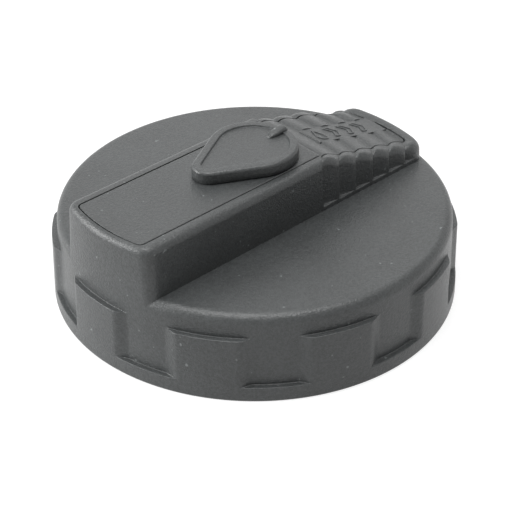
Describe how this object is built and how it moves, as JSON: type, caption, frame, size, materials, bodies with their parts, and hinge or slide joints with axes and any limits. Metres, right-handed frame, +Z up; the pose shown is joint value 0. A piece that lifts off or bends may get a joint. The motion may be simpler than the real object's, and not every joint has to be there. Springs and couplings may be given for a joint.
{
  "type": "fuel filler cap",
  "caption": "Lockable bayonet tank cap with a fluted skirt, a ribbed bar handle and a swinging key cover over its lock.",
  "frame": {"origin": "on the cap's axis at the lower edge of the skirt", "axes": "+Z up along the cap's axis, +X along the handle towards its ribbed end, +Y towards the lock bolt"},
  "size_m": [0.104, 0.104, 0.0408],
  "materials": {
    "shell_plastic": "fine moulded grain",
    "inner_plastic": "plain moulded",
    "steel": "bright zinc plate",
    "zinc": "zinc die casting",
    "brass": "stamped",
    "rubber": "moulded"
  },
  "bodies": {
    "shell": {"cap_shell": "shell_plastic", "handle_panel": "shell_plastic", "panel_screws": "steel", "cover_spring_washer": "steel", "lock_housing": "zinc", "housing_screws": "steel", "lock_seal_ring": "rubber", "bolt_cover": "inner_plastic", "bolt_cover_screws": "steel", "core_body": "inner_plastic", "lug_plate": "steel", "core_screws": "steel"},
    "cover": {"key_cover": "shell_plastic", "cover_pivot_pin": "steel", "cover_pin_clip": "steel"},
    "rotor": {"lock_plug": "zinc", "lock_wafers": "brass", "plug_clip": "steel", "cam_disc": "steel"},
    "bolt": {"lock_bolt": "steel"},
    "seal": {"seal_plate": "steel", "seal_gasket": "rubber", "seal_spring": "steel"},
    "vent": {"vent_poppet": "inner_plastic", "vent_spring": "steel"}
  },
  "joints": [
    {"name": "cover_swing", "type": "hinge", "parent": "shell", "child": "cover", "pos_m": [-0.015, 0, 0.0365], "axis": [0, 0, 1], "range_deg": [-120, 120]},
    {"name": "lock_turn", "type": "hinge", "parent": "shell", "child": "rotor", "pos_m": [0, 0, 0], "axis": [0, 0, 1], "range_deg": [0, 90]},
    {"name": "bolt_slide", "type": "slide", "parent": "shell", "child": "bolt", "axis": [0, 1, 0], "range_m": [0, 0.004]},
    {"name": "seal_lift", "type": "slide", "parent": "shell", "child": "seal", "axis": [0, 0, 1], "range_m": [0, 0.002], "stiffness_N_per_m": 180, "springref_m": -0.018, "deforming": ["seal_spring"]},
    {"name": "vent_lift", "type": "slide", "parent": "shell", "child": "vent", "axis": [0, 0, 1], "range_m": [-0.002, 0], "stiffness_N_per_m": 110, "springref_m": 0.001, "deforming": ["vent_spring"]}
  ],
  "couplings": [
    {"joint": "lock_turn", "follows": "bolt_slide", "rad_per_m": 392.69}
  ]
}
